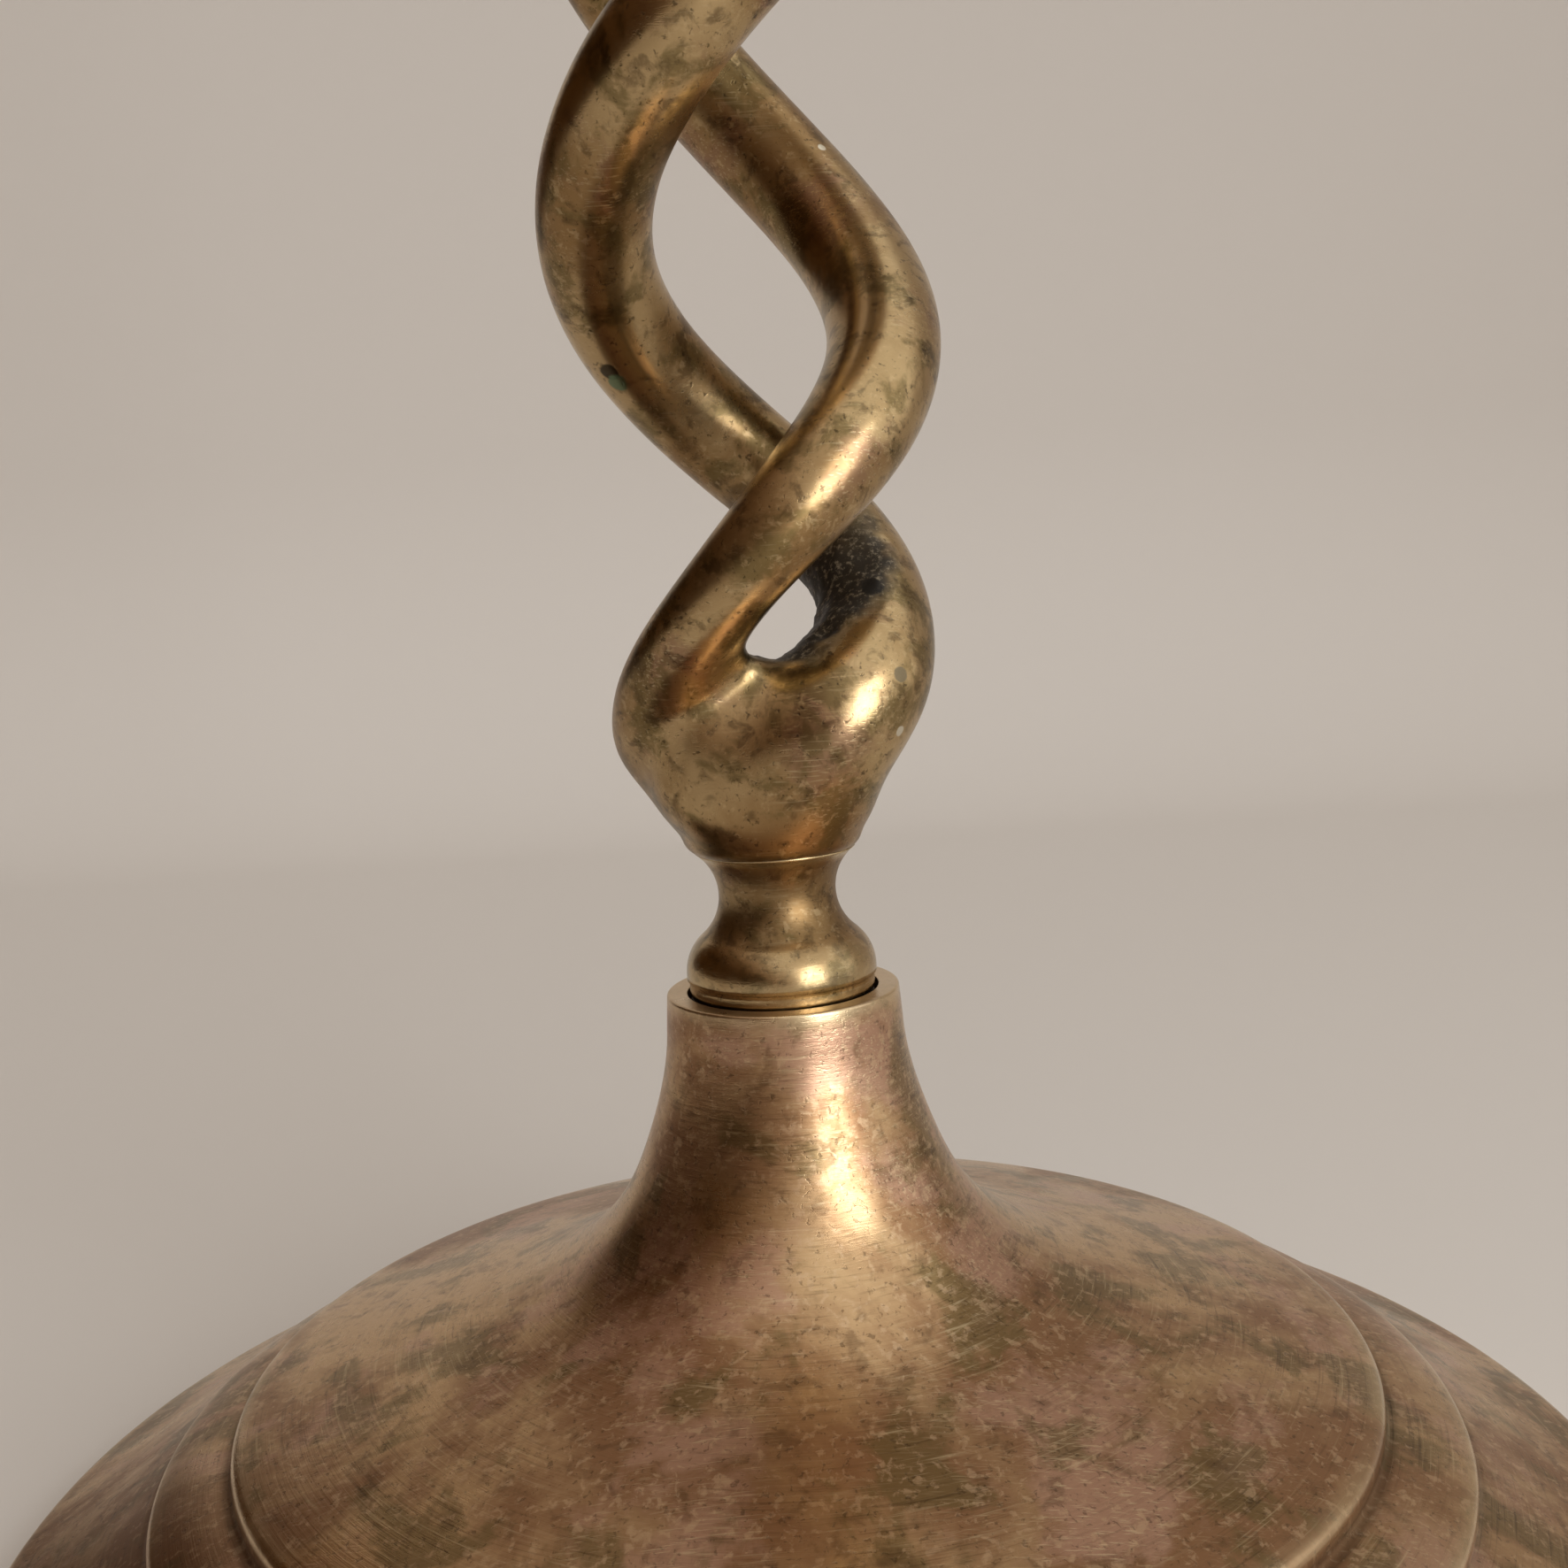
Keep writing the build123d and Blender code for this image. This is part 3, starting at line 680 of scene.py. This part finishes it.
def agedBrass(name, look):
    material, tree = newMaterial(name)
    place = addNode(tree, "TexCoord").outputs["Object"]
    place = addNode(tree, "VectorMath", {"Scale": 1 / mm}, {0: place}, operation="SCALE").outputs[0]
    edge, nookShade, raw = [
        addNode(tree, "Attribute", attribute_name=mark).outputs["Fac"] for mark in ("edge", "nookShade", "raw")
    ]

    # tarnish: clouds of several sizes, each laid over the last
    colour, clouds, shares = None, [], []
    for size, detail, low, high, most, tint in look["tarnish"]:
        values = {"W": size, "Scale": 1 / size, "Detail": detail, "Roughness": 0.6, "Distortion": 0.5}
        cloud = addNode(tree, "TexNoise", values, {"Vector": place}, noise_dimensions="4D").outputs["Fac"]
        values = {"From Min": low, "From Max": high, "To Max": most}
        share = addNode(tree, "MapRange", values, {"Value": cloud}, interpolation_type="SMOOTHSTEP")
        share = share.outputs[0]
        values, links = {7: linear(tint)}, {0: share, 6: colour}
        if colour is None:
            values, links = {6: linear(look["brass"]), 7: linear(tint)}, {0: share}
        colour = addNode(tree, "Mix", values, links, data_type="RGBA").outputs[2]
        clouds.append(cloud)
        shares.append(share)

    # polishing lines, fainter and stronger in patches
    lines = addNode(tree, "Attribute", attribute_name="brush").outputs["Vector"]
    values = {"Scale": 1.0, "Detail": 3.0, "Roughness": 0.65, "Distortion": 0.15}
    lines = addNode(tree, "TexNoise", values, {"Vector": lines}).outputs["Fac"]
    most = look["lineShare"]
    values = {"From Min": 0.42, "From Max": 0.6, "To Min": most / 5, "To Max": most}
    patchy = addNode(tree, "MapRange", values, {"Value": clouds[2]}).outputs[0]
    for low, high, tint in ((0.58, 0.72, look["bright"]), (0.44, 0.32, look["dark"])):
        values = {"From Min": low, "From Max": high}
        share = addNode(tree, "MapRange", values, {"Value": lines}).outputs[0]
        share = addNode(tree, "Math", None, {0: share, 1: patchy}, operation="MULTIPLY").outputs[0]
        colour = addNode(tree, "Mix", {7: linear(tint)}, {0: share, 6: colour}, data_type="RGBA").outputs[2]

    # hairline scratches, drawn about a tenth of a millimetre wide so that they show
    hairs = None
    for turn, shift in look["scratches"]:
        values = {"Rotation": turn, "Scale": (0.09, 5.0, 5.0), "Location": shift}
        spun = addNode(tree, "Mapping", values, {"Vector": place}).outputs[0]
        values = {"Scale": 1.0, "Detail": 1.0, "Roughness": 0.5}
        hair = addNode(tree, "TexNoise", values, {"Vector": spun}).outputs["Fac"]
        values = {"From Min": 0.64, "From Max": 0.74}
        hair = addNode(tree, "MapRange", values, {"Value": hair}).outputs[0]
        links = {0: hair} if hairs is None else {0: hair, 1: hairs}
        hairs = addNode(tree, "Math", {1: 0.0}, links, operation="MAXIMUM").outputs[0]
    values = {"From Min": 0.42, "From Max": 0.62, "To Max": look["hairShare"]}
    share = addNode(tree, "MapRange", values, {"Value": clouds[1]}).outputs[0]
    hairs = addNode(tree, "Math", None, {0: hairs, 1: share}, operation="MULTIPLY").outputs[0]
    values, links = {7: linear(look["bright"])}, {0: hairs, 6: colour}
    colour = addNode(tree, "Mix", values, links, data_type="RGBA").outputs[2]

    # rubbed edges, and grime with painted shade in the corners that a cloth can't reach
    values = {"From Min": 0.3, "From Max": 0.6, "To Max": 0.7}
    rub = addNode(tree, "MapRange", values, {"Value": clouds[1]}).outputs[0]
    rub = addNode(tree, "Math", None, {0: edge, 1: rub}, operation="MULTIPLY").outputs[0]
    grimeAndShade = addNode(tree, "Math", {1: look["grimeAndShadeShare"]}, {0: nookShade}, operation="MULTIPLY").outputs[0]
    for share, tint in ((rub, look["bright"]), (grimeAndShade, look["grimeAndShade"])):
        colour = addNode(tree, "Mix", {7: linear(tint)}, {0: share, 6: colour}, data_type="RGBA").outputs[2]

    # the sooty skin that the mould left in the crotch, with fine flecks of old polish in it
    values = {"Scale": 2.2, "Detail": 5.0, "Roughness": 0.7}
    fleck = addNode(tree, "TexNoise", values, {"Vector": place}).outputs["Fac"]
    values = {"From Min": 0.52, "From Max": 0.68, "To Max": 0.8}
    fleck = addNode(tree, "MapRange", values, {"Value": fleck}).outputs[0]
    values = {6: linear(look["skin"]), 7: linear(look["fleck"])}
    skin = addNode(tree, "Mix", values, {0: fleck}, data_type="RGBA").outputs[2]
    colour = addNode(tree, "Mix", None, {0: raw, 6: colour, 7: skin}, data_type="RGBA").outputs[2]

    # knocks with ragged rims
    for spot, radius, tint in look["knocks"]:
        far = addNode(tree, "VectorMath", {1: spot}, {0: place}, operation="DISTANCE").outputs["Value"]
        values = {1: 1.4 * radius}
        far = addNode(tree, "Math", values, {0: clouds[3], 2: far}, operation="MULTIPLY_ADD").outputs[0]
        values = {"From Min": 1.8 * radius, "From Max": 1.6 * radius, "To Max": 0.9}
        share = addNode(tree, "MapRange", values, {"Value": far}).outputs[0]
        colour = addNode(tree, "Mix", {7: linear(tint)}, {0: share, 6: colour}, data_type="RGBA").outputs[2]

    # tarnish and skin aren't metal, so both are duller
    values = {"From Min": 0.0, "From Max": 1.0, "To Min": look["rough"], "To Max": look["rough"] + 0.12}
    rough = addNode(tree, "MapRange", values, {"Value": shares[0]}).outputs[0]
    for mark, more in ((nookShade, 0.2), (edge, -0.06), (raw, 0.25), (lines, 0.08)):
        rough = addNode(tree, "Math", {1: more}, {0: mark, 2: rough}, operation="MULTIPLY_ADD").outputs[0]
    values = {"From Min": 0.0, "From Max": 1.0, "To Min": 1.0, "To Max": look["dull"]}
    metal = addNode(tree, "MapRange", values, {"Value": shares[0]}).outputs[0]
    metal = addNode(tree, "Math", {1: -0.6}, {0: raw, 2: metal}, operation="MULTIPLY_ADD").outputs[0]
    high = addNode(tree, "Math", {1: -0.8}, {0: hairs, 2: lines}, operation="MULTIPLY_ADD").outputs[0]
    high = addNode(tree, "Math", {1: -0.8}, {0: shares[-1], 2: high}, operation="MULTIPLY_ADD").outputs[0]
    values = {"Strength": look["relief"], "Distance": 0.06 * mm}
    relief = addNode(tree, "Bump", values, {"Height": high}).outputs[0]
    links = {"Base Color": colour, "Roughness": rough, "Metallic": metal, "Normal": relief}
    shader = addNode(tree, "BsdfPrincipled", None, links)
    addNode(tree, "OutputMaterial", None, {"Surface": shader.outputs[0]})
    return material


# Turned brass, long handled: a satin sheen under blotches of pink-brown and olive tarnish,
# crossed by short polishing strokes, and brighter on rubbed edges
turnedLook = {
    # the near-black colour is grime with painted shade, laid into corners, grooves and creases
    "brass": "#CBAA80", "bright": "#DEC9A2", "dark": "#4A3824", "grimeAndShade": "#241B13", "grimeAndShadeShare": 0.5,
    "tarnish": (  # size in mm, detail, start and end of the cloud, most that it covers, colour
        (26.0, 7.0, 0.44, 0.58, 0.9, "#926B4C"), (13.0, 8.0, 0.5, 0.6, 0.7, "#C59E86"),
        (8.0, 9.0, 0.51, 0.6, 0.65, "#766640"), (2.4, 9.0, 0.53, 0.66, 0.45, "#634A33"),
        (0.9, 6.0, 0.53, 0.64, 0.5, "#D6B793"), (0.5, 4.0, 0.57, 0.67, 0.45, "#35271A"),
    ),
    "lineShare": 0.5, "hairShare": 0.45, "rough": 0.22, "dull": 0.96, "relief": 0.3,
    "skin": "#2F2921", "fleck": "#A0937C", "knocks": (),
    "scratches": (  # the way that each set runs, in radians, and its shift
        ((0.2, 0.1, 0.5), (0, 0, 0)), ((0.1, -0.3, 1.9), (5, 3, 9)), ((-0.2, 0.2, -0.6), (2, 7, 4)),
    ),
}
# Cast brass filed smooth and rubbed for years: paler and more golden, blotched brown, olive and plum
castLook = dict(turnedLook)
castLook.update({
    # the stem's crease and band get a stronger share of grime and painted shade
    "brass": "#B89E74", "bright": "#D8C59C", "dark": "#4B3B24", "grimeAndShadeShare": 0.85,
    "tarnish": (
        (17.0, 7.0, 0.44, 0.62, 0.8, "#8A6A42"), (9.0, 8.0, 0.54, 0.66, 0.65, "#8F6C58"),
        (5.0, 9.0, 0.5, 0.6, 0.7, "#6B5C38"), (1.8, 9.0, 0.52, 0.64, 0.55, "#4E3C26"),
        (0.8, 6.0, 0.55, 0.66, 0.4, "#CDB388"), (0.45, 4.0, 0.58, 0.68, 0.6, "#2B2118"),
    ),
    "lineShare": 0.3, "hairShare": 0.35, "rough": 0.2, "dull": 0.97, "relief": 0.22,
    "knocks": (  # place in mm, radius in mm, colour: bare nicks, a pit and a chip of green rust
        ((6.8, 6.6, 109.3), 0.35, "#E8E0CC"), ((9.7, -6.3, 65.0), 0.42, "#D8D0BC"),
        ((9.9, -6.5, 69.2), 0.6, "#7A6E58"), ((8.4, -2.1, 75.6), 0.8, "#15110D"),
        ((-10.4, 3.0, 92.9), 0.8, "#2A241B"), ((-10.0, 3.4, 91.9), 0.9, "#66785C"),
    ),
})
turnedBrass = agedBrass("turnedBrassTarnished", turnedLook)
castBrass = agedBrass("castBrassFiled", castLook)

# Free-cutting brass rod, as the die left it: bright and yellow, with painted shade in the thread's roots
material, tree = newMaterial("dieCutBrassRod")
root = addNode(tree, "Attribute", attribute_name="nookShade").outputs["Fac"]
blend = addNode(tree, "Mix", {6: linear("#D2AE62"), 7: linear("#6B5128")}, {0: root}, data_type="RGBA")
values = {"Metallic": 1.0, "Roughness": 0.32}
shader = addNode(tree, "BsdfPrincipled", values, {"Base Color": blend.outputs[2]})
addNode(tree, "OutputMaterial", None, {"Surface": shader.outputs[0]})
rodBrass = material

# Vegetable-tanned leather, punched and soaked with oil: nearly black, dull, a fine grain
material, tree = newMaterial("oiledLeatherPunched")
place = addNode(tree, "TexCoord").outputs["Object"]
grain = addNode(tree, "TexVoronoi", {"Scale": 1800.0}, {"Vector": place}).outputs["Distance"]
blend = addNode(tree, "Mix", {6: linear("#1B1612"), 7: linear("#2E251D")}, {0: grain}, data_type="RGBA")
relief = addNode(tree, "Bump", {"Strength": 0.5, "Distance": 0.0001}, {"Height": grain}).outputs[0]
links = {"Base Color": blend.outputs[2], "Normal": relief}
shader = addNode(tree, "BsdfPrincipled", {"Roughness": 0.6}, links)
addNode(tree, "OutputMaterial", None, {"Surface": shader.outputs[0]})
leather = material

for piece, finish in (
    (basePiece, turnedBrass), (panPiece, turnedBrass), (cupPiece, turnedBrass), (stemPiece, castBrass),
    (bpy.data.objects["stemStud"], rodBrass), (bpy.data.objects["cupStud"], rodBrass),
    (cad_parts["seat_washer"], leather),
):
    piece.data.materials.clear()
    piece.data.materials.append(finish)
print("materials made")

# Floor, light and camera

studio = {
    "floorHalf": 2.5, "sweepLeft": -0.4,
    "sweepStart": 0.34, "sweepRadius": 0.12, "sweepTop": 1.6,
    "floorColour": "#E0DCD7",
    "windowPlace": (0.31, -0.40, 0.17), "windowAim": (0.0, 0.0, 0.13), "windowSize": (0.27, 0.34),
    "windowSpread": 110.0, "windowPower": 0.55, "windowColour": (0.97, 0.985, 1.0),
    "toLight": (0.72, -0.15, 0.68), "darkEnd": -0.3, "lightEnd": 0.9,
    "roomDark": "#BC8346", "roomLight": "#F6F3EE", "darkLevel": 0.1, "lightLevel": 1.15,
}
# paper laid on the table, and swept up behind to the right of sweepLeft
most, left, start = studio["floorHalf"], studio["sweepLeft"], studio["sweepStart"]
line = [(-most, 0.0)] + arc((start, studio["sweepRadius"]), studio["sweepRadius"], -90, 0, 24)
line += [(start + studio["sweepRadius"], studio["sweepTop"])]
count = len(line)
points = [(x, y, z) for x in (left, most) for y, z in line]
faces = [(i, count + i, count + i + 1, i + 1) for i in range(count - 1)]
points += [(-most, -most, 0.0), (-most, start, 0.0), (-most, most, 0.0), (left, most, 0.0)]
faces += [(2 * count, 0, 1, 2 * count + 1), (2 * count + 1, 1, 2 * count + 3, 2 * count + 2)]
mesh = bpy.data.meshes.new("floor")
mesh.from_pydata(points, [], faces)
mesh.shade_smooth()
floor = bpy.data.objects.new("floor", mesh)
bpy.context.scene.collection.objects.link(floor)
material, tree = newMaterial("mattPaperFloor")
shader = addNode(tree, "BsdfPrincipled", {"Base Color": linear(studio["floorColour"]), "Roughness": 0.9})
addNode(tree, "OutputMaterial", None, {"Surface": shader.outputs[0]})
mesh.materials.append(material)

world = bpy.data.worlds.new("studio")
bpy.context.scene.world = world
world.use_nodes = True
tree = world.node_tree
tree.nodes.clear()
way = addNode(tree, "TexCoord").outputs["Generated"]
toLight = Vector(studio["toLight"]).normalized()
side = addNode(tree, "VectorMath", {1: toLight}, {0: way}, operation="DOT_PRODUCT").outputs["Value"]
values = {"From Min": studio["darkEnd"], "From Max": studio["lightEnd"]}
lit = addNode(tree, "MapRange", values, {"Value": side}, interpolation_type="SMOOTHSTEP").outputs[0]
# warm in the dark of the room, plain in the light
values = {6: linear(studio["roomDark"]), 7: linear(studio["roomLight"])}
blend = addNode(tree, "Mix", values, {0: lit}, data_type="RGBA")
values = {"To Min": studio["darkLevel"], "To Max": studio["lightLevel"]}
level = addNode(tree, "MapRange", values, {"Value": lit}).outputs[0]
soft = addNode(tree, "Background", None, {"Color": blend.outputs[2], "Strength": level})
addNode(tree, "OutputWorld", None, {"Surface": soft.outputs[0]})

lamp = bpy.data.lights.new("window", "AREA")
lamp.shape, lamp.size, lamp.size_y = "RECTANGLE", *studio["windowSize"]
lamp.energy, lamp.color = studio["windowPower"], studio["windowColour"]
lamp.spread = radians(studio["windowSpread"])
window = bpy.data.objects.new("window", lamp)
window.location = studio["windowPlace"]
window.rotation_euler = (Vector(studio["windowAim"]) - window.location).to_track_quat("-Z", "Y").to_euler()
bpy.context.scene.collection.objects.link(window)

camera = {
    "place": (0.0, -129.05, 77.52), "downDeg": 7.355, "yawDeg": 0.447, "rollDeg": -3.3,
    "focusPx": 1911.0, "framePx": 1772.0, "sensorMm": 36.0,
}
yaw, down, roll = (radians(camera[key]) for key in ("yawDeg", "downDeg", "rollDeg"))
ahead = Vector((sin(yaw) * cos(down), cos(yaw) * cos(down), -sin(down)))
right = ahead.cross(Vector((0, 0, 1))).normalized()
up = right.cross(ahead)
right, up = cos(roll) * right + sin(roll) * up, cos(roll) * up - sin(roll) * right
lens = bpy.data.cameras.new("camera")
lens.sensor_width = camera["sensorMm"]
lens.lens = camera["sensorMm"] * camera["focusPx"] / camera["framePx"]
lens.clip_start, lens.clip_end = 0.005, 20.0
eye = bpy.data.objects.new("camera", lens)
eye.matrix_world = Matrix((
    (right.x, up.x, -ahead.x, camera["place"][0] * mm), (right.y, up.y, -ahead.y, camera["place"][1] * mm),
    (right.z, up.z, -ahead.z, camera["place"][2] * mm), (0, 0, 0, 1),
))
bpy.context.scene.collection.objects.link(eye)
bpy.context.scene.camera = eye
bpy.context.scene.view_settings.view_transform = "Standard"
print("studio and camera set")
